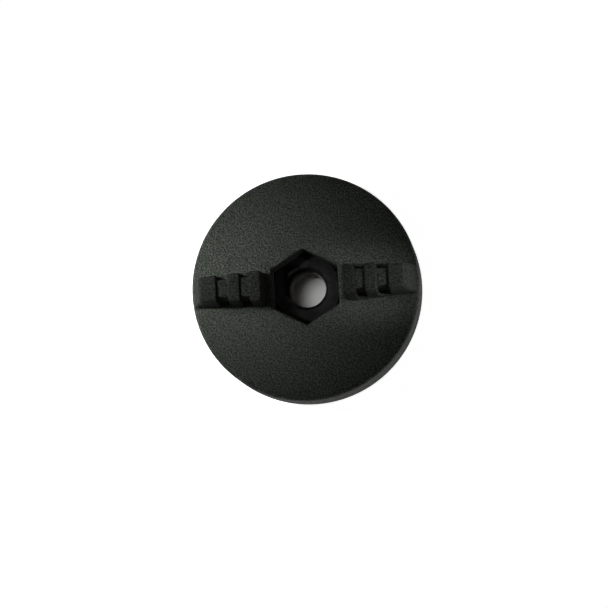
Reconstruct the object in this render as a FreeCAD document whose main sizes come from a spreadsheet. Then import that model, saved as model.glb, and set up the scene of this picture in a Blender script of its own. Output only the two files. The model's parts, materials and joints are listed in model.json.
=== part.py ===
import FreeCAD, Part

import math
import os

import Sketcher

# A two-winged hand nut: a round moulded plastic flange with two grip wings on its face and a
# hexagonal pocket in its middle, and the standard 3/8-16 steel hex nut that the pocket holds.
#
# Frame: the axis of the thread is Z. The origin is on that axis, on the clamping face under
# the boss. +Z points from the clamping face to the tops of the wings, +X along the wings.

DIMENSIONS = (
    # the flange and the boss under it
    ("disc_diameter", 50.0),
    ("rim_thickness", 9.5),
    ("rim_fillet", 0.55),
    ("boss_diameter", 24.0),
    ("boss_height", 3.73),
    ("boss_fillet", 0.4),
    # the hexagonal pocket, with the nut at its bottom on a thin floor
    ("pocket_across_flats", 14.45),
    ("free_depth", 3.5),
    ("pocket_corner_fillet", 0.3),
    ("pocket_mouth_fillet", 0.5),
    ("floor_thickness", 1.4),
    ("bolt_hole_diameter", 10.2),
    # the bays between the ribs of the underside
    ("bay_count", 20.0),
    ("bay_depth", 5.0),
    ("bay_inner_radius", 13.6),
    ("bay_outer_radius", 22.6),
    ("rib_thickness", 2.0),
    # one wing, measured along X from the axis
    ("wing_height", 6.8),
    ("wing_root_sink", 0.6),
    ("wing_start", 8.6),
    ("wing_end", 24.55),
    ("wing_half_width", 3.85),
    ("wing_taper", 0.045),
    ("inner_end_draft", 2.0),
    ("outer_end_draft", 17.5),
    ("side_draft", 4.25),
    ("wing_corner_fillet", 0.7),
    ("wing_top_fillet", 0.5),
    # the two grooves that divide a wing's grip into three blocks
    ("groove_side_depth", 1.05),
    ("groove_top_depth", 0.5),
    ("groove_foot_height", 0.9),
    ("inner_groove_start", 11.4),
    ("inner_groove_width", 2.1),
    ("outer_groove_start", 16.1),
    ("outer_groove_width", 2.5),
    ("groove_edge_fillet", 0.25),
    # the nut: 9/16 in across flats, 21/64 in high, bored to the minor diameter of 3/8-16
    ("nut_across_flats", 14.29),
    ("nut_height", 8.33),
    ("nut_bore_diameter", 8.1),
    ("nut_countersink", 0.75),
    ("nut_corner_drop", 0.55),
    ("nut_corner_angle", 30.0),
)

HEX_CORNER = "cos(30)"
HEX_SIDES = 6
FACE_LEVEL = "(Sheet.boss_height + Sheet.rim_thickness)"
TOP_LEVEL = f"({FACE_LEVEL} + Sheet.wing_height)"
ROOT_LEVEL = f"({FACE_LEVEL} - Sheet.wing_root_sink)"
POCKET_DEPTH = "(Sheet.free_depth + Sheet.nut_height)"
GROOVES = ("inner_groove", "outer_groove")
SAME = 1e-4

doc = FreeCAD.newDocument("WingNut")


def make_sheet():
    sheet = doc.addObject("Spreadsheet::Sheet", "Sheet")
    for row, (alias, size) in enumerate(DIMENSIONS, start=1):
        sheet.set(f"A{row}", alias.replace("_", " "))
        sheet.set(f"B{row}", str(size))
        sheet.setAlias(f"B{row}", alias)
    doc.recompute()
    return sheet


def value(formula):
    """The number that a formula of the sheet's cells gives."""
    return float(sheet.evalExpression(formula))


def origin_part(body, role):
    """One of the body's own origin planes or axes."""
    for feature in body.Origin.OriginFeatures:
        if feature.Role == role:
            return feature
    raise RuntimeError(f"{body.Label} has no {role}")


def sketch_on(body, name, plane, lift):
    """An empty sketch parallel to one of the body's origin planes, lifted off it by a formula."""
    sketch = body.newObject("Sketcher::SketchObject", name)
    sketch.AttachmentSupport = [(origin_part(body, plane), "")]
    sketch.MapMode = "FlatFace"
    sketch.setExpression("AttachmentOffset.Base.z", lift)
    return sketch


def add_circle(sketch, diameter):
    """A circle about the sketch's origin."""
    centre = FreeCAD.Vector(0, 0, 0)
    up = FreeCAD.Vector(0, 0, 1)
    circle = sketch.addGeometry(Part.Circle(centre, up, value(diameter) / 2))
    sketch.addConstraint(Sketcher.Constraint("Coincident", circle, 3, -1, 1))
    size = sketch.addConstraint(Sketcher.Constraint("Diameter", circle, value(diameter)))
    sketch.setExpression(f"Constraints[{size}]", diameter)


def add_outline(sketch, corners):
    """A closed outline of straight lines, whose corners are pairs of formulas."""
    spots = [FreeCAD.Vector(value(across), value(up), 0) for across, up in corners]
    pairs = zip(spots, spots[1:] + spots[:1])
    sides = [sketch.addGeometry(Part.LineSegment(start, end)) for start, end in pairs]
    for side, following, corner in zip(sides, sides[1:] + sides[:1], corners):
        sketch.addConstraint(Sketcher.Constraint("Coincident", side, 2, following, 1))
        for direction, formula in zip(("DistanceX", "DistanceY"), corner):
            place = Sketcher.Constraint(direction, -1, 1, side, 1, value(formula))
            number = sketch.addConstraint(place)
            sketch.setExpression(f"Constraints[{number}]", formula)


def add_hexagon(sketch, across_flats):
    """A hexagon with two corners on the sketch's vertical axis."""
    corner_radius = f"({across_flats} / 2 / {HEX_CORNER})"
    corners = []
    for number in range(HEX_SIDES):
        angle = 90 + number * 360 // HEX_SIDES
        corners.append((f"{corner_radius} * cos({angle})", f"{corner_radius} * sin({angle})"))
    add_outline(sketch, corners)


def finish_feature(body, feature):
    """Makes a new feature the body's result and works it out."""
    body.Tip = feature
    doc.recompute()
    return feature


def add_pad(body, name, sketch, length):
    pad = body.newObject("PartDesign::Pad", name)
    pad.Profile = sketch
    pad.setExpression("Length", length)
    return finish_feature(body, pad)


def add_pocket(body, name, sketch, length, along_normal):
    """A cut from the sketch's plane, and a test that it takes material away."""
    before = body.Shape.Volume
    pocket = body.newObject("PartDesign::Pocket", name)
    pocket.Profile = sketch
    pocket.setExpression("Length", length)
    pocket.Reversed = along_normal
    finish_feature(body, pocket)
    if body.Shape.Volume > before - SAME:
        raise RuntimeError(f"{name} cuts nothing")
    return pocket


def add_mirror(body, name, originals):
    """The same features again on the other side of the YZ plane."""
    mirror = body.newObject("PartDesign::Mirrored", name)
    mirror.Originals = originals
    mirror.MirrorPlane = (origin_part(body, "YZ_Plane"), [""])
    return finish_feature(body, mirror)


def edges_where(body, test):
    """The names of the edges of the body's result that pass a test."""
    numbered = enumerate(body.Tip.Shape.Edges, start=1)
    return [f"Edge{number}" for number, edge in numbered if test(edge)]


def add_fillet(body, name, test, radius):
    names = edges_where(body, test)
    if not names:
        raise RuntimeError(f"{name} finds no edge")
    rounded = body.Tip
    fillet = body.newObject("PartDesign::Fillet", name)
    fillet.Base = (rounded, names)
    fillet.setExpression("Radius", radius)
    return finish_feature(body, fillet)


def level(edge, height):
    """Whether both ends and the middle of an edge lie at one height."""
    box = edge.BoundBox
    return abs(box.ZMin - height) < SAME and abs(box.ZMax - height) < SAME


def is_circle(edge, radius, height):
    curve = edge.Curve
    return isinstance(curve, Part.Circle) and abs(curve.Radius - radius) < SAME and level(edge, height)


def make_flange(body):
    """The boss that clamps, the round flange above it, and their rounded outer edges."""
    boss = sketch_on(body, "boss_outline", "XY_Plane", "0")
    add_circle(boss, "Sheet.boss_diameter")
    add_pad(body, "boss", boss, FACE_LEVEL)

    disc = sketch_on(body, "disc_outline", "XY_Plane", "Sheet.boss_height")
    add_circle(disc, "Sheet.disc_diameter")
    add_pad(body, "disc", disc, "Sheet.rim_thickness")

    rim = value("Sheet.disc_diameter / 2")
    rim_levels = (value("Sheet.boss_height"), value(FACE_LEVEL))
    add_fillet(
        body, "rim_edges",
        lambda edge: any(is_circle(edge, rim, height) for height in rim_levels),
        "Sheet.rim_fillet",
    )
    boss_radius = value("Sheet.boss_diameter / 2")
    add_fillet(
        body, "boss_edge",
        lambda edge: is_circle(edge, boss_radius, 0.0),
        "Sheet.boss_fillet",
    )


def make_bays(body):
    """Tapered bays cut up into the underside, which leave radial ribs between them."""
    corners = []
    for radius in ("Sheet.bay_inner_radius", "Sheet.bay_outer_radius"):
        half_width = f"({radius} * tan(180 / Sheet.bay_count) - Sheet.rib_thickness / 2)"
        corners.append((radius, half_width))
    outline = corners + [(radius, f"-1 * {half}") for radius, half in reversed(corners)]
    bay = sketch_on(body, "bay_outline", "XY_Plane", "Sheet.boss_height")
    add_outline(bay, outline)
    cut = add_pocket(body, "bay", bay, "Sheet.bay_depth", along_normal=True)

    before = body.Shape.Volume
    ring = body.newObject("PartDesign::PolarPattern", "bays")
    ring.Originals = [cut]
    ring.Axis = (origin_part(body, "Z_Axis"), [""])
    ring.Angle = 360
    ring.setExpression("Occurrences", "Sheet.bay_count")
    finish_feature(body, ring)
    if body.Shape.Volume > before - SAME:
        raise RuntimeError("the ring of bays cuts nothing")


def add_wing_outlines(sketch):
    """The roots of both wings, which narrow from the pocket towards the rim."""
    start = "Sheet.wing_start"
    end = "Sheet.wing_end"
    wide = "Sheet.wing_half_width"
    narrow = f"({wide} - ({end} - {start}) * Sheet.wing_taper)"
    for side in ("", "-1 * "):
        add_outline(sketch, (
            (f"{side}{start}", wide),
            (f"{side}{start}", f"-1 * {wide}"),
            (f"{side}{end}", f"-1 * {narrow}"),
            (f"{side}{end}", narrow),
        ))


def add_draft(body, name, test, angle):
    """Leans the upright faces that pass a test inwards, about the wings' lowest faces."""
    drafted = body.Tip
    root = value(ROOT_LEVEL)
    faces = []
    lowest = []
    for number, face in enumerate(drafted.Shape.Faces, start=1):
        if face.BoundBox.ZMax - root < SAME:
            lowest.append(f"Face{number}")
        elif face.BoundBox.ZMin - root < SAME and test(face.CenterOfMass, face.normalAt(0, 0)):
            faces.append(f"Face{number}")
    before = drafted.Shape.Volume
    draft = body.newObject("PartDesign::Draft", name)
    draft.Base = (drafted, faces)
    draft.NeutralPlane = (drafted, [lowest[0]])
    draft.Reversed = False
    draft.setExpression("Angle", angle)
    finish_feature(body, draft)
    if body.Shape.Volume > before - SAME:
        raise RuntimeError(f"{name} takes nothing away")


def shape_wings(body):
    """Two upright wings with drafted sides and ends and rounded edges."""
    root = sketch_on(body, "wing_roots", "XY_Plane", ROOT_LEVEL)
    add_wing_outlines(root)
    add_pad(body, "wing_blanks", root, "Sheet.wing_height + Sheet.wing_root_sink")

    middle = (value("Sheet.wing_start") + value("Sheet.wing_end")) / 2
    add_draft(
        body, "side_drafts",
        lambda centre, normal: abs(normal.y) > abs(normal.x),
        "Sheet.side_draft",
    )
    add_draft(
        body, "inner_end_drafts",
        lambda centre, normal: abs(normal.x) > abs(normal.y) and abs(centre.x) < middle,
        "Sheet.inner_end_draft",
    )
    add_draft(
        body, "outer_end_drafts",
        lambda centre, normal: abs(normal.x) > abs(normal.y) and abs(centre.x) > middle,
        "Sheet.outer_end_draft",
    )

    wing_top = value(TOP_LEVEL)
    add_fillet(
        body, "wing_corners",
        lambda edge: edge.BoundBox.ZLength > value("Sheet.wing_height"),
        "Sheet.wing_corner_fillet",
    )
    add_fillet(body, "wing_tops", lambda edge: level(edge, wing_top), "Sheet.wing_top_fillet")


def wing_half_width(distance, height):
    """Half the width of a wing at a distance from the axis and a height above its root."""
    taper = f"({distance} - Sheet.wing_start) * Sheet.wing_taper"
    return f"(Sheet.wing_half_width - {taper} - {height} * tan(Sheet.side_draft))"


def cut_grooves(body):
    """Grooves over the top and down both sides of each wing, which end above its foot."""
    foot_height = "(Sheet.wing_root_sink + Sheet.groove_foot_height)"
    crest_height = "(Sheet.wing_root_sink + Sheet.wing_height - Sheet.groove_top_depth)"
    foot = f"({ROOT_LEVEL} + {foot_height})"
    crest = f"({ROOT_LEVEL} + {crest_height})"
    outside = "(Sheet.wing_half_width + 1)"
    above = f"({TOP_LEVEL} + 1)"
    cuts = []
    for name in GROOVES:
        start = f"Sheet.{name}_start"
        core_foot = f"({wing_half_width(start, foot_height)} - Sheet.groove_side_depth)"
        core_crest = f"({wing_half_width(start, crest_height)} - Sheet.groove_side_depth)"
        profile = sketch_on(body, f"{name}_profile", "YZ_Plane", start)
        add_outline(profile, (
            (core_foot, foot),
            (outside, foot),
            (outside, above),
            (f"-1 * {outside}", above),
            (f"-1 * {outside}", foot),
            (f"-1 * {core_foot}", foot),
            (f"-1 * {core_crest}", crest),
            (core_crest, crest),
        ))
        cuts.append(add_pocket(body, name, profile, f"Sheet.{name}_width", along_normal=True))
    before = body.Shape.Volume
    add_mirror(body, "mirrored_grooves", cuts)
    if body.Shape.Volume > before - SAME:
        raise RuntimeError("the mirrored grooves cut nothing")


def soften_grooves(body):
    """Rounds the edges of the grip blocks where the grooves cut them."""
    walls = []
    for name in GROOVES:
        start = value(f"Sheet.{name}_start")
        walls += [start, start + value(f"Sheet.{name}_width")]
    sink = value("Sheet.wing_root_sink")
    foot = value(ROOT_LEVEL) + sink + value("Sheet.groove_foot_height")
    crest = value(TOP_LEVEL) - value("Sheet.groove_top_depth")
    half_depth = value("Sheet.groove_side_depth") / 2

    def is_block_edge(edge):
        box = edge.BoundBox
        middle = edge.valueAt((edge.FirstParameter + edge.LastParameter) / 2)
        if box.XLength > SAME or not any(abs(abs(middle.x) - wall) < SAME for wall in walls):
            return False
        surface = value(wing_half_width(repr(abs(middle.x)), repr(middle.z - value(ROOT_LEVEL))))
        on_side = abs(middle.y) > surface - half_depth and box.ZMin > foot - SAME
        return middle.z > crest + SAME or (on_side and box.ZLength > half_depth)

    add_fillet(body, "block_edges", is_block_edge, "Sheet.groove_edge_fillet")


def make_pocket(body):
    """The hexagonal pocket with rounded corners and mouth, and the bolt hole in its floor."""
    hexagon = sketch_on(body, "pocket_outline", "XY_Plane", FACE_LEVEL)
    add_hexagon(hexagon, "Sheet.pocket_across_flats")
    add_pocket(body, "nut_pocket", hexagon, POCKET_DEPTH, along_normal=False)

    corner_radius = value("Sheet.pocket_across_flats / 2") / math.cos(math.radians(30))
    depth = value(POCKET_DEPTH)

    def is_pocket_corner(edge):
        middle = edge.valueAt((edge.FirstParameter + edge.LastParameter) / 2)
        upright = abs(edge.BoundBox.ZLength - depth) < SAME
        return upright and abs(math.hypot(middle.x, middle.y) - corner_radius) < SAME

    add_fillet(body, "pocket_corners", is_pocket_corner, "Sheet.pocket_corner_fillet")

    face = value(FACE_LEVEL)

    def is_mouth(edge):
        box = edge.BoundBox
        reach = max(abs(box.XMin), abs(box.XMax), abs(box.YMin), abs(box.YMax))
        return level(edge, face) and reach < corner_radius + SAME

    add_fillet(body, "pocket_mouth", is_mouth, "Sheet.pocket_mouth_fillet")

    hole = sketch_on(body, "bolt_hole_outline", "XY_Plane", "0")
    add_circle(hole, "Sheet.bolt_hole_diameter")
    add_pocket(body, "bolt_hole", hole, "Sheet.floor_thickness", along_normal=True)


def make_wings():
    """The pair of wings, finished before the flange takes them in."""
    body = doc.addObject("PartDesign::Body", "Wings")
    body.AllowCompound = True
    shape_wings(body)
    cut_grooves(body)
    soften_grooves(body)
    return body


def make_wing_body():
    """One moulding: the flange with its bays and pocket, and the wings on its face."""
    wings = make_wings()
    body = doc.addObject("PartDesign::Body", "WingBody")
    body.Label = "wing_body"
    make_flange(body)
    make_bays(body)
    make_pocket(body)
    joined = body.newObject("PartDesign::Boolean", "joined_wings")
    joined.setObjects([wings])
    joined.Type = "Fuse"
    finish_feature(body, joined)
    return body


def cut_nut_corners(body, name, outer_level, inner_level):
    """Turns the nut's corners down to a cone at one end."""
    before = body.Shape.Volume
    corner_radius = f"(Sheet.nut_across_flats / 2 / {HEX_CORNER})"
    run = "(Sheet.nut_corner_drop / tan(Sheet.nut_corner_angle))"
    profile = sketch_on(body, f"{name}_profile", "XZ_Plane", "0")
    add_outline(profile, (
        (f"{corner_radius} - {run}", outer_level),
        (f"{corner_radius} + {run}", outer_level),
        (f"{corner_radius} + {run}", f"2 * {inner_level} - {outer_level}"),
    ))
    groove = body.newObject("PartDesign::Groove", name)
    groove.Profile = profile
    groove.ReferenceAxis = (origin_part(body, "Z_Axis"), [""])
    groove.Angle = 360
    finish_feature(body, groove)
    if body.Shape.Volume > before - SAME:
        raise RuntimeError(f"{name} cuts nothing")


def make_hex_nut():
    body = doc.addObject("PartDesign::Body", "HexNut")
    body.Label = "hex_nut"
    body.setExpression("Placement.Base.z", "Sheet.floor_thickness")
    hexagon = sketch_on(body, "nut_outline", "XY_Plane", "0")
    add_hexagon(hexagon, "Sheet.nut_across_flats")
    add_pad(body, "nut_blank", hexagon, "Sheet.nut_height")
    cut_nut_corners(
        body, "lower_corners", "0", "Sheet.nut_corner_drop")
    cut_nut_corners(
        body, "upper_corners", "Sheet.nut_height", "(Sheet.nut_height - Sheet.nut_corner_drop)")

    bore = sketch_on(body, "bore_outline", "XY_Plane", "0")
    add_circle(bore, "Sheet.nut_bore_diameter")
    plain_bore = add_pocket(body, "bore", bore, "Sheet.nut_height", along_normal=True)

    bore_radius = value("Sheet.nut_bore_diameter / 2")
    ends = (0.0, value("Sheet.nut_height"))
    names = edges_where(
        body, lambda edge: any(is_circle(edge, bore_radius, height) for height in ends))
    countersinks = body.newObject("PartDesign::Chamfer", "countersinks")
    countersinks.Base = (plain_bore, names)
    countersinks.setExpression("Size", "Sheet.nut_countersink")
    finish_feature(body, countersinks)
    return body


def check_model(bodies):
    """Stops on any failed feature or unsound solid."""
    doc.recompute()
    for thing in doc.Objects:
        if "Invalid" in thing.State or "Error" in thing.State:
            raise RuntimeError(f"{thing.Label} failed: {thing.State}")
    for body in bodies:
        shape = body.Shape
        if shape.isNull() or not shape.isValid() or len(shape.Solids) != 1:
            raise RuntimeError(f"{body.Label} is not one sound solid")


sheet = make_sheet()
parts = [make_wing_body(), make_hex_nut()]
check_model(parts)

os.makedirs("parts", exist_ok=True)
for part in parts:
    part.Shape.exportStep(f"parts/{part.Label}.step")
    box = part.Shape.BoundBox
    print(part.Label, round(part.Shape.Volume, 1), "mm3")
    print("  x", round(box.XMin, 3), round(box.XMax, 3), "y", round(box.YMin, 3), round(box.YMax, 3))
    print("  z", round(box.ZMin, 3), round(box.ZMax, 3))
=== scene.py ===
import json
import math

import bmesh
import bpy
from mathutils import Matrix, Vector


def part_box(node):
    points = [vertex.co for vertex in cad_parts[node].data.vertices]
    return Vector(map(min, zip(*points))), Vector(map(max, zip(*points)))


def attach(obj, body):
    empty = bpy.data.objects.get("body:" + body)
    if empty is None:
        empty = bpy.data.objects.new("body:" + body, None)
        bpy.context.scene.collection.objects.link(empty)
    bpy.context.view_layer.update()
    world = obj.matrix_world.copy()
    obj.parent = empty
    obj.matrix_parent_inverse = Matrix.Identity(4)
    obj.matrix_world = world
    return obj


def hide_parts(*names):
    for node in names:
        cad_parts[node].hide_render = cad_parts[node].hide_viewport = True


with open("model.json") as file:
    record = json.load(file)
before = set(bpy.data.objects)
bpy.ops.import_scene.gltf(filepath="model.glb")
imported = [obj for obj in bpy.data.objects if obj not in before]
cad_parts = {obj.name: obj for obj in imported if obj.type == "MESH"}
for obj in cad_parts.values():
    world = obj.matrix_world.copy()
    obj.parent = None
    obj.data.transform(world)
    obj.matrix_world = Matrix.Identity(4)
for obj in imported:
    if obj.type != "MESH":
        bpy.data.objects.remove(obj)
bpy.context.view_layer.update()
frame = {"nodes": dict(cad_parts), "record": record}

# A moulded plastic wing nut with a steel hex nut in its pocket, lying on white paper.
# Lengths in this script are millimetres, and MM turns them into Blender's metres.

MM = 0.001
SAME_PLACE = 1e-4
ANGLE_DIGITS = 6
TURN = 2 * math.pi


def span_mm(node, axis):
    """The lowest and highest place of a CAD node along one axis, in millimetres."""
    low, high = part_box(node)
    return low[axis] / MM, high[axis] / MM


def mount(name):
    """One of the record's mounts, by its name."""
    return next(entry for entry in frame["record"]["mounts"] if entry["name"] == name)


# ---------------------------------------------------------------- sizes taken from the frame

RIM_RADIUS = min(span_mm("wing_body", 0)[1], span_mm("wing_body", 1)[1])
WING_TOP = span_mm("wing_body", 2)[1]
NUT_BOTTOM, NUT_TOP = span_mm("hex_nut", 2)
NUT_FLAT = span_mm("hex_nut", 0)[1]
NUT_CORNER = span_mm("hex_nut", 1)[1]
BORE_RADIUS = mount("thread")["dims"]["r_mm"]
THREAD_LENGTH = mount("thread")["dims"]["length_mm"]
HOLE_RADIUS = mount("bolt_clearance")["dims"]["r_mm"]
FLOOR_TOP = mount("bolt_clearance")["dims"]["length_mm"]

# ---------------------------------------------------------------- the moulding

WING_HEIGHT = 6.8
FACE = WING_TOP - WING_HEIGHT
RIM_THICKNESS = 9.5
RIM_BOTTOM = FACE - RIM_THICKNESS
RIM_FILLET = 0.55
BOSS_RADIUS = 12.0
BOSS_FILLET = 0.4
BOSS_ROOT_FILLET = 0.5
HOLE_EDGE = 0.25
POCKET_FLAT = 7.225
POCKET_CORNER = 0.3
POCKET_MOUTH = 0.5
EVEN_ANGLES = 240
ARC_STEPS = 5
SHORT_ARC_STEPS = 4
HALF_FLAT_ANGLE = math.radians(30)
FACE_RINGS = 6
MOULDING_SHARP = math.radians(35)

BAY_COUNT = 20
BAY_DEPTH = 5.0
BAY_INNER = 13.6
BAY_OUTER = 22.6
BAY_CORNER = 0.6
RIB_THICKNESS = 2.0
CUTTER_OVERRUN = 1

WING_SINK = 0.6
WING_START = 8.6
WING_END = 24.55
WING_HALF_WIDTH = 3.85
WING_TAPER = 0.045
SIDE_DRAFT = math.tan(math.radians(4.25))
INNER_DRAFT = math.tan(math.radians(2.0))
OUTER_DRAFT = math.tan(math.radians(17.5))
WING_CORNER = 0.7
WING_EDGE = 0.5
WING_FOOT_FILLET = 0.35

GROOVES = ((11.4, 2.1), (16.1, 2.5))
GROOVE_SIDE_DEPTH = 1.05
GROOVE_TOP_DEPTH = 0.5
GROOVE_FOOT = 0.9
GROOVE_EDGE = 0.3
GROOVE_ROOT = 0.25
GROOVE_DRAFT = math.tan(math.radians(1.5))

# ---------------------------------------------------------------- the steel nut

NUT_CHAMFER_SLOPE = math.tan(math.radians(30))
NUT_CORNER_DROP = 0.55
THREAD_PITCH = 25.4 / 16
THREAD_DEPTH = 0.71
THREAD_ROWS_PER_TURN = 24
THREAD_ROOT_SHARE = 0.12
THREAD_FLANK_SHARE = 0.66
NUT_CORNER_ROUND = 0.08
NUT_EDGE_ROUND = 0.06
NUT_SHARP = math.radians(30)


def arc_steps(count):
    """Angles from 0 to a quarter turn."""
    return [math.pi / 2 * step / count for step in range(count + 1)]


def make_piece(name, vertices, faces):
    """A mesh object from places in millimetres, with its normals pointing out."""
    mesh = bpy.data.meshes.new(name)
    mesh.from_pydata([Vector(place) * MM for place in vertices], [], faces)
    work = bmesh.new()
    work.from_mesh(mesh)
    bmesh.ops.remove_doubles(work, verts=work.verts, dist=SAME_PLACE * MM)
    bmesh.ops.dissolve_degenerate(work, edges=work.edges, dist=SAME_PLACE * MM)
    bmesh.ops.recalc_face_normals(work, faces=work.faces)
    work.to_mesh(mesh)
    work.free()
    piece = bpy.data.objects.new(name, mesh)
    bpy.context.scene.collection.objects.link(piece)
    return piece


def band(rows, closed_rows=False):
    """Quads between closed rows of equal length, as tuples of vertex numbers."""
    count = len(rows[0])
    faces = []
    row_pairs = range(len(rows)) if closed_rows else range(len(rows) - 1)
    for row in row_pairs:
        upper = (row + 1) % len(rows)
        for column in range(count):
            beside = (column + 1) % count
            faces.append((
                row * count + column, row * count + beside,
                upper * count + beside, upper * count + column,
            ))
    return faces


def apply_modifier(piece, modifier):
    """Bakes a piece's only modifier into its mesh."""
    depsgraph = bpy.context.evaluated_depsgraph_get()
    result = bpy.data.meshes.new_from_object(piece.evaluated_get(depsgraph))
    piece.modifiers.remove(modifier)
    piece.data = result


def combine(piece, other, operation):
    """Joins another solid to a piece, or cuts it out, and removes the other."""
    modifier = piece.modifiers.new("combine", "BOOLEAN")
    modifier.operation = operation
    modifier.solver = "EXACT"
    modifier.object = other
    apply_modifier(piece, modifier)
    bpy.data.objects.remove(other)


def smooth_shading(piece, sharp_angle):
    """Smooth faces with sharp edges kept, and flat faces left flat beside their fillets."""
    piece.data.shade_smooth()
    piece.data.set_sharp_from_angle(angle=sharp_angle)
    even = piece.modifiers.new("even_normals", "WEIGHTED_NORMAL")
    even.keep_sharp = True
    apply_modifier(piece, even)


# ---------------------------------------------------------------- hexagons

def hexagon_reach(angle, flat, corner):
    """How far a hexagon with rounded corners reaches, where flats face 0, 60, ... degrees."""
    from_flat = (angle + HALF_FLAT_ANGLE) % (TURN / 6) - HALF_FLAT_ANGLE
    straight = (flat - corner) * math.tan(HALF_FLAT_ANGLE)
    if flat * abs(math.tan(from_flat)) <= straight:
        return flat / math.cos(from_flat)
    from_corner = HALF_FLAT_ANGLE - abs(from_flat)
    centre = (flat - corner) / math.cos(HALF_FLAT_ANGLE)
    inside = max(corner ** 2 - (centre * math.sin(from_corner)) ** 2, 0)
    return centre * math.cos(from_corner) + math.sqrt(inside)


def hexagon_angles(flat, corner):
    """Even angles round the turn, and a few more round each corner."""
    angles = {round(TURN * step / EVEN_ANGLES, ANGLE_DIGITS) for step in range(EVEN_ANGLES)}
    corner_half = HALF_FLAT_ANGLE - math.atan((flat - corner) / flat * math.tan(HALF_FLAT_ANGLE))
    for side in range(6):
        middle = HALF_FLAT_ANGLE + side * TURN / 6
        for share in (-1, -0.6, -0.25, 0.25, 0.6, 1):
            angles.add(round(middle + share * corner_half, ANGLE_DIGITS))
    return sorted(angles)


def turned_rows(profile, angles):
    """Rings of places from a profile of (reach, height), where a reach may depend on the angle."""
    rows = []
    for reach, height in profile:
        row = []
        for angle in angles:
            radius = reach(angle) if callable(reach) else reach
            row.append((radius * math.cos(angle), radius * math.sin(angle), height))
        rows.append(row)
    return rows


def turned_piece(name, profile, angles):
    """A closed ring-shaped solid turned from a closed profile."""
    rows = turned_rows(profile, angles)
    return make_piece(name, [place for row in rows for place in row], band(rows, closed_rows=True))


# ---------------------------------------------------------------- flange

def pocket_reach(offset):
    """The pocket's outline moved outwards by an offset, as a reach for each angle."""
    return lambda angle: hexagon_reach(angle, POCKET_FLAT + offset, POCKET_CORNER + offset)


def face_reach(share, outer):
    """A line between the pocket's mouth and the edge of the face."""
    mouth = pocket_reach(POCKET_MOUTH)
    return lambda angle: mouth(angle) * (1 - share) + outer * share


def flange_profile():
    """From the bolt hole's foot out over the boss and the rim, across the face, down the pocket."""
    profile = []

    def corner(radius, height, size, out, up, start):
        """A quarter round about a centre, from one side of the corner to the other."""
        for step in arc_steps(ARC_STEPS):
            turn = step if start == "level" else math.pi / 2 - step
            across = radius + out * size * math.sin(turn)
            profile.append((across, height + up * size * math.cos(turn)))

    profile.append((HOLE_RADIUS, HOLE_EDGE))
    profile.append((HOLE_RADIUS + HOLE_EDGE, 0.0))
    corner(BOSS_RADIUS - BOSS_FILLET, BOSS_FILLET, BOSS_FILLET, 1, -1, "level")
    corner(
        BOSS_RADIUS + BOSS_ROOT_FILLET, RIM_BOTTOM - BOSS_ROOT_FILLET, BOSS_ROOT_FILLET,
        -1, 1, "upright")
    corner(RIM_RADIUS - RIM_FILLET, RIM_BOTTOM + RIM_FILLET, RIM_FILLET, 1, -1, "level")
    corner(RIM_RADIUS - RIM_FILLET, FACE - RIM_FILLET, RIM_FILLET, 1, 1, "upright")
    for ring in range(1, FACE_RINGS):
        profile.append((face_reach(1 - ring / FACE_RINGS, RIM_RADIUS - RIM_FILLET), FACE))
    for step in arc_steps(ARC_STEPS):
        offset = POCKET_MOUTH * (1 - math.sin(step))
        profile.append((pocket_reach(offset), FACE - POCKET_MOUTH * (1 - math.cos(step))))
    profile.append((pocket_reach(0), FLOOR_TOP))
    profile.append((HOLE_RADIUS, FLOOR_TOP))
    return profile


def rounded_corner(before, place, after, radius, steps):
    """The points of an arc that rounds one corner of an outline."""
    place = Vector(place)
    towards_before = (Vector(before) - place).normalized()
    towards_after = (Vector(after) - place).normalized()
    half_angle = towards_before.angle(towards_after) / 2
    reach = radius / math.tan(half_angle)
    centre = place + (towards_before + towards_after).normalized() * radius / math.sin(half_angle)
    start = place + towards_before * reach - centre
    end = place + towards_after * reach - centre
    return [centre + start.slerp(end, step / steps) * radius for step in range(steps + 1)]


def bay_cutter(number):
    """One bay of the underside: a tapered space with rounded corners between two ribs."""
    bay_half = math.pi / BAY_COUNT
    corners = []
    for radius, side in ((BAY_INNER, 1), (BAY_INNER, -1), (BAY_OUTER, -1), (BAY_OUTER, 1)):
        half_width = radius * math.tan(bay_half) - RIB_THICKNESS / 2
        corners.append((radius, side * half_width))
    outline = []
    for index, place in enumerate(corners):
        following = corners[(index + 1) % len(corners)]
        outline += rounded_corner(corners[index - 1], place, following, BAY_CORNER, SHORT_ARC_STEPS)
    angle = number * TURN / BAY_COUNT
    ahead, aside = math.cos(angle), math.sin(angle)
    rows = []
    for height in (RIM_BOTTOM - CUTTER_OVERRUN, RIM_BOTTOM + BAY_DEPTH):
        rows.append([(x * ahead - y * aside, x * aside + y * ahead, height) for x, y in outline])
    count = len(outline)
    caps = [tuple(range(count)), tuple(range(count, 2 * count))]
    return rows[0] + rows[1], band(rows) + caps


def make_bay_cutters():
    """The bays of the underside all round, as one mesh."""
    vertices = []
    faces = []
    for number in range(BAY_COUNT):
        places, sides = bay_cutter(number)
        faces += [tuple(index + len(vertices) for index in side) for side in sides]
        vertices += places
    return make_piece("bay_cutters", vertices, faces)


# ---------------------------------------------------------------- wings

def rounding(distance, radius):
    """How far a rounded edge falls back at a distance from the end it rounds."""
    if distance >= radius:
        return 0.0
    return radius - math.sqrt(radius ** 2 - (radius - distance) ** 2)


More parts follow.
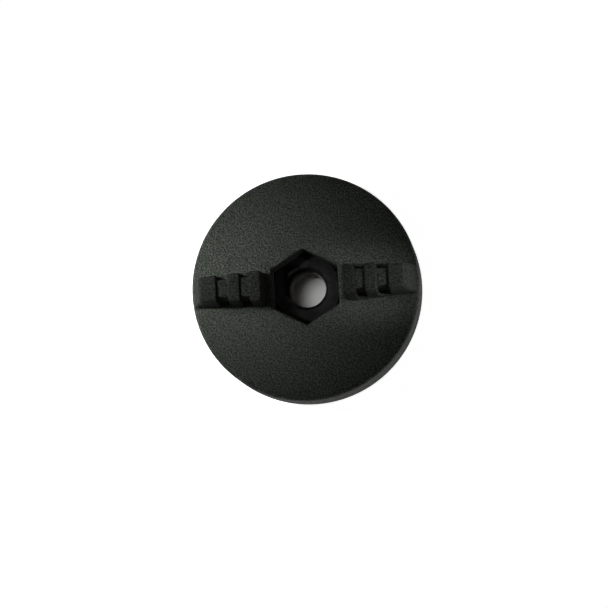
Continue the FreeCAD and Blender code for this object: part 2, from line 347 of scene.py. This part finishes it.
def wing_section(station):
    """Points over a wing from one root to the other, at one place along it."""
    start, slope = station["plane"]
    along, end_gap, cut = station["along"], station["end_gap"], station["cut"]
    inset = rounding(end_gap, WING_CORNER) + min(cut, GROOVE_SIDE_DEPTH)
    drop = rounding(end_gap, WING_EDGE) + min(cut, GROOVE_TOP_DEPTH)
    end_inset = rounding(end_gap, WING_CORNER)
    root = WING_HALF_WIDTH - (along - WING_START) * WING_TAPER
    crest = WING_SINK + WING_HEIGHT - drop
    foot_fillet = WING_FOOT_FILLET if end_gap > WING_CORNER else 0.0

    def surface(height, pulled):
        return root - height * SIDE_DRAFT - pulled

    half = [(surface(0, end_inset) + foot_fillet, 0.0)]
    for step in arc_steps(SHORT_ARC_STEPS):
        height = WING_SINK + foot_fillet * (1 - math.cos(step))
        half.append((surface(height, end_inset) + foot_fillet * (1 - math.sin(step)), height))
    ledge = WING_SINK + GROOVE_FOOT
    half.append((surface(ledge, end_inset), ledge))
    half.append((surface(ledge, inset), ledge))
    for share in (0.25, 0.5, 0.75, 1.0):
        height = ledge + (crest - WING_EDGE - ledge) * share
        half.append((surface(height, inset), height))
    for step in arc_steps(ARC_STEPS)[1:]:
        height = crest - WING_EDGE * (1 - math.sin(step))
        across = surface(crest - WING_EDGE, inset) - WING_EDGE * (1 - math.cos(step))
        half.append((across, height))
    for share in (0.6, 0.25):
        half.append((half[-1][0] * share, crest))
    full = half + [(-across, height) for across, height in reversed(half)]
    places = []
    for across, height in full:
        outwards = along if slope is None else start + slope * height
        places.append((outwards, across, FACE - WING_SINK + height))
    return places


def wing_stations():
    """Places along a wing: its rounded ends, and the walls and floors of its grooves."""
    stations = []

    def add(along, plane, end_gap, cut):
        stations.append({"along": along, "plane": plane, "end_gap": end_gap, "cut": cut})

    for step in arc_steps(ARC_STEPS):
        gap = WING_CORNER * (1 - math.cos(step))
        add(WING_START + gap, (WING_START + gap, INNER_DRAFT), gap, 0.0)
    for start, width in GROOVES:
        wall = []
        for step in arc_steps(SHORT_ARC_STEPS):
            wall.append((-GROOVE_EDGE * (1 - math.sin(step)), GROOVE_EDGE * (1 - math.cos(step))))
        wall.append((0.0, GROOVE_TOP_DEPTH))
        for step in arc_steps(SHORT_ARC_STEPS):
            cut = GROOVE_SIDE_DEPTH - GROOVE_ROOT * (1 - math.sin(step))
            wall.append((GROOVE_ROOT * (1 - math.cos(step)), cut))
        leaning = [(offset + cut * GROOVE_DRAFT, cut) for offset, cut in wall]
        for offset, cut in leaning:
            add(start + offset, (0, None), WING_HEIGHT, cut)
        for offset, cut in reversed(leaning):
            add(start + width - offset, (0, None), WING_HEIGHT, cut)
    for step in reversed(arc_steps(ARC_STEPS)):
        gap = WING_CORNER * (1 - math.cos(step))
        add(WING_END - gap, (WING_END - gap, -OUTER_DRAFT), gap, 0.0)
    return stations


def make_wing(side):
    """One wing, on the +X side or turned half a turn about the axis."""
    rows = [wing_section(station) for station in wing_stations()]
    rows = [[(side * x, side * y, z) for x, y, z in row] for row in rows]
    count = len(rows[0])
    last = (len(rows) - 1) * count
    caps = [tuple(range(count)), tuple(range(last, last + count))]
    vertices = [place for row in rows for place in row]
    return make_piece(f"wing_{side}", vertices, band(rows) + caps)


def make_moulding():
    """The flange with its bays cut out and its two wings joined on."""
    piece = turned_piece("moulding", flange_profile(), hexagon_angles(POCKET_FLAT, POCKET_CORNER))
    combine(piece, make_bay_cutters(), "DIFFERENCE")
    for side in (1, -1):
        combine(piece, make_wing(side), "UNION")
    smooth_shading(piece, MOULDING_SHARP)
    return piece


# ---------------------------------------------------------------- the nut

def thread_reach(angle, height):
    """The radius of a right-hand internal thread with flat crests and flat roots."""
    phase = (height / THREAD_PITCH - angle / TURN) % 1
    from_root = abs(phase - 0.5) * 2
    flank = min(max((from_root - THREAD_ROOT_SHARE) / THREAD_FLANK_SHARE, 0), 1)
    return BORE_RADIUS + THREAD_DEPTH * (1 - flank)


def nut_profile():
    """From the lower face's inner edge out over the flats, and down through the thread."""
    height = NUT_TOP - NUT_BOTTOM
    washer = NUT_CORNER - NUT_CORNER_DROP / NUT_CHAMFER_SLOPE
    countersink = (height - THREAD_LENGTH) / 2
    mouth = BORE_RADIUS + countersink

    def flat(angle):
        return hexagon_reach(angle, NUT_FLAT, NUT_CORNER_ROUND)

    def drop(angle):
        return max(0, flat(angle) - washer) * NUT_CHAMFER_SLOPE

    rows = [
        lambda angle: (mouth, 0.0),
        lambda angle: ((mouth + min(washer, flat(angle))) / 2, 0.0),
        lambda angle: (min(washer, flat(angle) - NUT_EDGE_ROUND), 0.0),
        lambda angle: (flat(angle), max(drop(angle), NUT_EDGE_ROUND)),
        lambda angle: (flat(angle), height / 2),
        lambda angle: (flat(angle), height - max(drop(angle), NUT_EDGE_ROUND)),
        lambda angle: (min(washer, flat(angle) - NUT_EDGE_ROUND), height),
        lambda angle: ((mouth + min(washer, flat(angle))) / 2, height),
        lambda angle: (mouth, height),
    ]
    count = round(height / THREAD_PITCH * THREAD_ROWS_PER_TURN)
    for row in range(1, count):
        level = height * (1 - row / count)
        sink = max(countersink - level, countersink - (height - level), 0)

        def bore(angle, level=level, sink=sink):
            return max(thread_reach(angle, level), BORE_RADIUS + sink), level
        rows.append(bore)
    return rows


def make_steel_nut():
    """The hex nut, whose corners are turned down and whose bore is threaded."""
    angles = hexagon_angles(NUT_FLAT, NUT_CORNER_ROUND)
    rows = []
    for place in nut_profile():
        row = []
        for angle in angles:
            radius, level = place(angle)
            row.append((radius * math.cos(angle), radius * math.sin(angle), NUT_BOTTOM + level))
        rows.append(row)
    piece = make_piece(
        "steel_nut", [place for row in rows for place in row], band(rows, closed_rows=True))
    smooth_shading(piece, NUT_SHARP)
    return piece


# ---------------------------------------------------------------- camera and light

CAMERA_TILT = math.radians(10.5)
CAMERA_SIDE = Vector((0.569, -0.822, 0)).normalized()
IMAGE_UP = Vector((0.0576, 0.998, 0))
CAMERA_DISTANCE = 480
CAMERA_LENS = 130.5
NEAREST_SEEN = 10
AIM_RIGHT = -0.26
AIM_DOWN = 3.81
ROOM_STRENGTH = 0.24
LAMPS = (
    {
        "name": "side_lamp", "place": (-150, 26, 140), "aim": (-27, 5, FACE),
        "radius": 27, "softness": 22, "power": 3.2,
    },
    {
        "name": "fill_lamp", "place": (150, -20, 120), "aim": (20, -1.5, 19),
        "radius": 10, "softness": 4, "power": 1.7,
    },
    {
        "name": "bore_lamp", "place": (-34, 16, 250), "aim": (3.3, -1.1, 0),
        "radius": 6, "softness": 2, "power": 0.85,
    },
)
PAPER_REACH = 900
PAPER_GAP = 0.02
TABLE_GLOW = 0.95
# Painted shade under the part: the paper's emission is gone within SHADE_INNER of the centre and full
# beyond SHADE_OUTER.
SHADE_INNER = 17
SHADE_OUTER = 24


# ---------------------------------------------------------------- materials

PLASTIC_GRAIN = 0.46
PLASTIC_PITS = 0.21
PLASTIC_GLITTER = 0.34
PLASTIC_CLOUD = 9.0
GRAIN_DEPTH = 0.26
PIT_DEPTH = 0.11
SCUFF_START = 2
SCUFF_FULL = 0.3
FLANK_FADE = 0.5
# Lighter plastic for the wing tops' edges: rubbed wear and a painted highlight.
RUBBED_PLASTIC_AND_HIGHLIGHT = (0.030, 0.033, 0.028, 1)

OXIDE_CLOUD = 1.6
OXIDE_FINE = 0.12
OXIDE_DEPTH = 0.008
TURNING_PITCH = 1.5
TURNING_DEPTH = 0.007
# Painted bounce light: the thread turns to uncoated steel from this far below the top to this far
# above the bottom.
PAINTED_BOUNCE_FROM_END = 1.5
BARE_FADE = 0.1
WORN_OXIDE = (0.07, 0.068, 0.065, 1)
# Uncoated steel for the thread: its own metal, and a painted bounce light that grows towards the
# bottom.
BARE_STEEL_AND_PAINTED_BOUNCE = (0.52, 0.50, 0.47, 1)

PAPER_TOOTH = 0.9


def new_material(name):
    material = bpy.data.materials.new(name)
    material.use_nodes = True
    nodes = material.node_tree.nodes
    return material, nodes, material.node_tree.links, nodes["Principled BSDF"]


def noise(nodes, links, grain, detail, roughness=0.5):
    """A noise in the object's own space, whose grain is in millimetres."""
    place = nodes.new("ShaderNodeTexCoord")
    texture = nodes.new("ShaderNodeTexNoise")
    texture.inputs["Scale"].default_value = 1 / (grain * MM)
    texture.inputs["Detail"].default_value = detail
    texture.inputs["Roughness"].default_value = roughness
    links.new(place.outputs["Object"], texture.inputs["Vector"])
    return texture.outputs["Fac"]


def ramp(nodes, links, source, stops):
    """Colours along a value; stops are (place, colour)."""
    node = nodes.new("ShaderNodeValToRGB")
    elements = node.color_ramp.elements
    elements[0].position, elements[0].color = stops[0]
    elements[1].position, elements[1].color = stops[-1]
    for place, colour in stops[1:-1]:
        elements.new(place).color = colour
    links.new(source, node.inputs["Fac"])
    return node.outputs["Color"]


def spread(nodes, links, source, low, high, low_out, high_out):
    """Maps a value's middle range onto another range."""
    node = nodes.new("ShaderNodeMapRange")
    node.inputs["From Min"].default_value = low
    node.inputs["From Max"].default_value = high
    node.inputs["To Min"].default_value = low_out
    node.inputs["To Max"].default_value = high_out
    links.new(source, node.inputs["Value"])
    return node.outputs["Result"]


def math_node(nodes, links, operation, first, second):
    """One operation on two values, each a number or a socket."""
    node = nodes.new("ShaderNodeMath")
    node.operation = operation
    for index, source in enumerate((first, second)):
        if isinstance(source, (int, float)):
            node.inputs[index].default_value = source
        else:
            links.new(source, node.inputs[index])
    return node.outputs["Value"]


def mix_colour(nodes, links, share, first, second):
    """The first colour at a share of 0 and the second at 1, each a colour or a socket."""
    node = nodes.new("ShaderNodeMix")
    node.data_type = "RGBA"
    links.new(share, node.inputs["Factor"])
    for name, source in (("A", first), ("B", second)):
        socket = next(s for s in node.inputs if s.name == name and s.type == "RGBA")
        if isinstance(source, tuple):
            socket.default_value = source
        else:
            links.new(source, socket)
    return next(s for s in node.outputs if s.type == "RGBA")


def edge_share(nodes, links, radius, low, high):
    """Near 1 on outside and inside edges, where a rounded normal leaves the true one."""
    bevel = nodes.new("ShaderNodeBevel")
    bevel.samples = 4
    bevel.inputs["Radius"].default_value = radius * MM
    true = nodes.new("ShaderNodeNewGeometry")
    dot = nodes.new("ShaderNodeVectorMath")
    dot.operation = "DOT_PRODUCT"
    links.new(bevel.outputs["Normal"], dot.inputs[0])
    links.new(true.outputs["Normal"], dot.inputs[1])
    return spread(nodes, links, dot.outputs["Value"], high, low, 0.0, 1.0)


def bump(nodes, links, height, distance, under=None):
    """A bumped normal, whose full height is in millimetres, over another one if given."""
    node = nodes.new("ShaderNodeBump")
    node.inputs["Distance"].default_value = distance * MM
    links.new(height, node.inputs["Height"])
    if under is not None:
        links.new(under, node.inputs["Normal"])
    return node.outputs["Normal"]


def own_height(nodes, links):
    """The height of a place in the object's own space, in metres."""
    place = nodes.new("ShaderNodeTexCoord")
    parts = nodes.new("ShaderNodeSeparateXYZ")
    links.new(place.outputs["Object"], parts.inputs["Vector"])
    return parts.outputs["Z"]


def axis_distance(nodes, links):
    """How far a place in the object's own space is from its Z axis, in metres."""
    place = nodes.new("ShaderNodeTexCoord")
    flat = nodes.new("ShaderNodeVectorMath")
    flat.operation = "MULTIPLY"
    flat.inputs[1].default_value = (1, 1, 0)
    radius = nodes.new("ShaderNodeVectorMath")
    radius.operation = "LENGTH"
    links.new(place.outputs["Object"], flat.inputs[0])
    links.new(flat.outputs["Vector"], radius.inputs[0])
    return radius.outputs["Value"]


def face_level(nodes, links):
    """1 on faces that lie level and 0 on upright ones."""
    geometry = nodes.new("ShaderNodeNewGeometry")
    facing = nodes.new("ShaderNodeSeparateXYZ")
    links.new(geometry.outputs["True Normal"], facing.inputs["Vector"])
    return math_node(nodes, links, "ABSOLUTE", facing.outputs["Z"], 0)


def plastic_material():
    """Black moulding plastic: spark-eroded grain, wing tops scuffed dull, with rubbed edges painted
    lighter, partly as wear and partly as a painted highlight.
    """
    material, nodes, links, shader = new_material("spark_eroded_plastic")
    grain = noise(nodes, links, PLASTIC_GRAIN, 3.0, 0.6)
    pits = noise(nodes, links, PLASTIC_PITS, 1.0)
    glitter = noise(nodes, links, PLASTIC_GLITTER, 1.0)
    cloud = noise(nodes, links, PLASTIC_CLOUD, 3.0)
    speckle = ramp(nodes, links, grain, (
        (0.36, (0.0026, 0.0030, 0.0024, 1)),
        (0.52, (0.0060, 0.0067, 0.0056, 1)),
        (0.70, (0.0150, 0.0168, 0.0140, 1)),
    ))
    shader.inputs["Specular Tint"].default_value = (0.90, 1.0, 0.86, 1)

    level = face_level(nodes, links)
    upright = spread(nodes, links, level, 0.3, 0.9, 0.45, 0.0)
    height = own_height(nodes, links)
    wear = spread(
        nodes, links, height, (WING_TOP - SCUFF_START) * MM, (WING_TOP - SCUFF_FULL) * MM, 0, 1)
    # The wing tops' rounded edges are painted lighter: partly rubbed wear, partly a painted highlight
    # where they would catch the light.
    rubbed_edge_and_painted_highlight = math_node(nodes, links, "MULTIPLY", wear, edge_share(nodes, links, 0.22, 0.80, 0.97))
    colour = mix_colour(nodes, links, rubbed_edge_and_painted_highlight, speckle, RUBBED_PLASTIC_AND_HIGHLIGHT)
    links.new(colour, shader.inputs["Base Color"])

    mottle = math_node(
        nodes, links, "ADD",
        spread(nodes, links, cloud, 0.35, 0.65, 0.33, 0.39),
        spread(nodes, links, pits, 0.3, 0.7, 0.0, 0.12),
    )
    above_face = spread(nodes, links, height, FACE * MM, (FACE + FLANK_FADE) * MM, 0, 1)
    steep = spread(nodes, links, level, 0.3, 0.9, 0.55, 0.0)
    flank = math_node(nodes, links, "MULTIPLY", above_face, steep)
    glint = spread(nodes, links, glitter, 0.34, 0.66, 0.20, 0.82)
    duller = math_node(nodes, links, "MAXIMUM", flank, math_node(nodes, links, "MULTIPLY", wear, 0.40))
    still_bright = math_node(nodes, links, "SUBTRACT", 1.0, duller)
    sheen = math_node(nodes, links, "MULTIPLY", glint, still_bright)
    links.new(sheen, shader.inputs["Specular IOR Level"])
    scuffed = math_node(nodes, links, "MULTIPLY", wear, 0.30)
    rough = math_node(nodes, links, "ADD", mottle, upright)
    links.new(math_node(nodes, links, "ADD", rough, scuffed), shader.inputs["Roughness"])

    coarse = bump(nodes, links, grain, GRAIN_DEPTH)
    links.new(bump(nodes, links, pits, PIT_DEPTH, coarse), shader.inputs["Normal"])
    return material


def steel_material():
    """Black oxide on turned steel, worn towards uncoated metal along the edges, and an uncoated thread
    painted lighter towards the bottom as a painted bounce light from the paper.
    """
    material, nodes, links, shader = new_material("blackened_steel")
    shader.inputs["Metallic"].default_value = 0.5
    shader.inputs["Specular IOR Level"].default_value = 0.15
    cloud = noise(nodes, links, OXIDE_CLOUD, 4.0)
    fine = noise(nodes, links, OXIDE_FINE, 2.0)
    oxide = ramp(nodes, links, cloud, (
        (0.30, (0.003, 0.003, 0.0035, 1)),
        (0.70, (0.010, 0.010, 0.0095, 1)),
    ))
    edges = edge_share(nodes, links, 0.15, 0.78, 0.97)
    patches = spread(nodes, links, cloud, 0.35, 0.65, 0.2, 0.9)
    worn = math_node(nodes, links, "MULTIPLY", edges, patches)
    skin = mix_colour(nodes, links, worn, oxide, WORN_OXIDE)
    # The thread is uncoated steel painted lighter towards the nut's bottom: partly the thread's own
    # metal, partly painted bounce light from the paper below.
    root = BORE_RADIUS + THREAD_DEPTH
    radius = axis_distance(nodes, links)
    inside = spread(nodes, links, radius, root * MM, (root + BARE_FADE) * MM, 1, 0)
    height = own_height(nodes, links)
    towards_bottom_painted_bounce = spread(
        nodes, links, height, (NUT_TOP - PAINTED_BOUNCE_FROM_END) * MM, (NUT_BOTTOM + PAINTED_BOUNCE_FROM_END) * MM, 0, 1)
    bare_thread_and_painted_bounce = math_node(nodes, links, "MULTIPLY", inside, towards_bottom_painted_bounce)
    links.new(mix_colour(nodes, links, bare_thread_and_painted_bounce, skin, BARE_STEEL_AND_PAINTED_BOUNCE), shader.inputs["Base Color"])
    links.new(spread(nodes, links, fine, 0.3, 0.7, 0.42, 0.62), shader.inputs["Roughness"])

    place = nodes.new("ShaderNodeTexCoord")
    rings = nodes.new("ShaderNodeTexWave")
    rings.wave_type = "RINGS"
    rings.rings_direction = "Z"
    rings.inputs["Scale"].default_value = 1 / (TURNING_PITCH * MM)
    rings.inputs["Distortion"].default_value = 1.2
    rings.inputs["Detail"].default_value = 2.0
    links.new(place.outputs["Object"], rings.inputs["Vector"])
    turned = bump(nodes, links, rings.outputs["Fac"], TURNING_DEPTH)
    links.new(bump(nodes, links, fine, OXIDE_DEPTH, turned), shader.inputs["Normal"])
    return material


def paper_material():
    """Plain white paper on a light table: it glows, with painted shade under the part where its
    emission fades out.
    """
    material, nodes, links, shader = new_material("white_paper")
    shader.inputs["Roughness"].default_value = 0.9
    tooth = noise(nodes, links, PAPER_TOOTH, 3.0)
    colour = ramp(nodes, links, tooth, ((0.3, (0.86, 0.86, 0.85, 1)), (0.7, (0.90, 0.90, 0.89, 1))))
    links.new(colour, shader.inputs["Base Color"])
    place = nodes.new("ShaderNodeTexCoord")
    distance = nodes.new("ShaderNodeVectorMath")
    distance.operation = "LENGTH"
    links.new(place.outputs["Object"], distance.inputs[0])
    # Painted shade: the paper's emission fades out inwards from SHADE_OUTER and is gone within
    # SHADE_INNER, under the part.
    emission_with_painted_shade = spread(
        nodes, links, distance.outputs["Value"], SHADE_INNER * MM, SHADE_OUTER * MM, 0, TABLE_GLOW)
    shader.inputs["Emission Color"].default_value = (1, 1, 1, 1)
    links.new(emission_with_painted_shade, shader.inputs["Emission Strength"])
    return material


# ---------------------------------------------------------------- studio

def make_camera():
    """Looks almost straight down at the face, from a little below and to the right of it."""
    camera = bpy.data.objects.new("camera", bpy.data.cameras.new("camera"))
    bpy.context.scene.collection.objects.link(camera)
    centre = Vector((0, 0, FACE))
    away = CAMERA_SIDE * math.sin(CAMERA_TILT) + Vector((0, 0, math.cos(CAMERA_TILT)))
    right = IMAGE_UP.cross(away).normalized()
    up = away.cross(right)
    aim = centre + right * AIM_RIGHT - up * AIM_DOWN
    place = centre + away * CAMERA_DISTANCE
    back = (place - aim).normalized()
    right = up.cross(back).normalized()
    up = back.cross(right)
    camera.matrix_world = Matrix((
        (right.x, up.x, back.x, place.x * MM),
        (right.y, up.y, back.y, place.y * MM),
        (right.z, up.z, back.z, place.z * MM),
        (0, 0, 0, 1),
    ))
    camera.data.lens = CAMERA_LENS
    camera.data.clip_start = NEAREST_SEEN * MM
    bpy.context.scene.camera = camera


def make_paper():
    corners = ((-1, -1), (1, -1), (1, 1), (-1, 1))
    places = [(x * PAPER_REACH, y * PAPER_REACH, 0) for x, y in corners]
    paper = make_piece("paper", places, [(0, 1, 2, 3)])
    paper.location.z = -PAPER_GAP * MM
    paper.data.materials.append(paper_material())


def make_lamp(name, place, aim, radius, softness, power):
    """A spot lamp whose light fades out at a radius round its aim."""
    light = bpy.data.lights.new(name, "SPOT")
    reach = Vector(aim) - Vector(place)
    light.spot_size = 2 * math.atan(radius / reach.length)
    light.spot_blend = 1.0
    light.shadow_soft_size = softness * MM
    light.energy = power
    lamp = bpy.data.objects.new(name, light)
    lamp.location = Vector(place) * MM
    lamp.rotation_euler = reach.to_track_quat("-Z", "Y").to_euler()
    bpy.context.scene.collection.objects.link(lamp)


def make_room():
    """A room that is bright towards the horizon and dark overhead."""
    world = bpy.data.worlds.new("room")
    world.use_nodes = True
    nodes = world.node_tree.nodes
    links = world.node_tree.links
    direction = nodes.new("ShaderNodeTexCoord")
    parts = nodes.new("ShaderNodeSeparateXYZ")
    links.new(direction.outputs["Generated"], parts.inputs["Vector"])
    colour = ramp(nodes, links, parts.outputs["Z"], (
        (0.00, (1.00, 1.00, 1.00, 1)),
        (0.45, (0.50, 0.50, 0.50, 1)),
        (0.75, (0.12, 0.12, 0.12, 1)),
        (1.00, (0.04, 0.04, 0.04, 1)),
    ))
    links.new(colour, nodes["Background"].inputs["Color"])
    nodes["Background"].inputs["Strength"].default_value = ROOM_STRENGTH
    bpy.context.scene.world = world


def make_studio():
    make_room()
    for lamp in LAMPS:
        make_lamp(**lamp)
    bpy.context.scene.view_settings.view_transform = "Standard"


# ---------------------------------------------------------------- assembly

make_camera()
make_paper()
make_studio()

plastic = plastic_material()
steel = steel_material()
for piece, node, body, slot, material in (
    (make_moulding(), "wing_body", "body", "moulded_plastic", plastic),
    (make_steel_nut(), "hex_nut", "nut", "blackened_steel", steel),
):
    piece.data.materials.clear()
    piece.data.materials.append(material)
    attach(piece, body)
    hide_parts(node)
    frame["nodes"][node].data.materials.clear()
    frame["nodes"][node].data.materials.append(material)
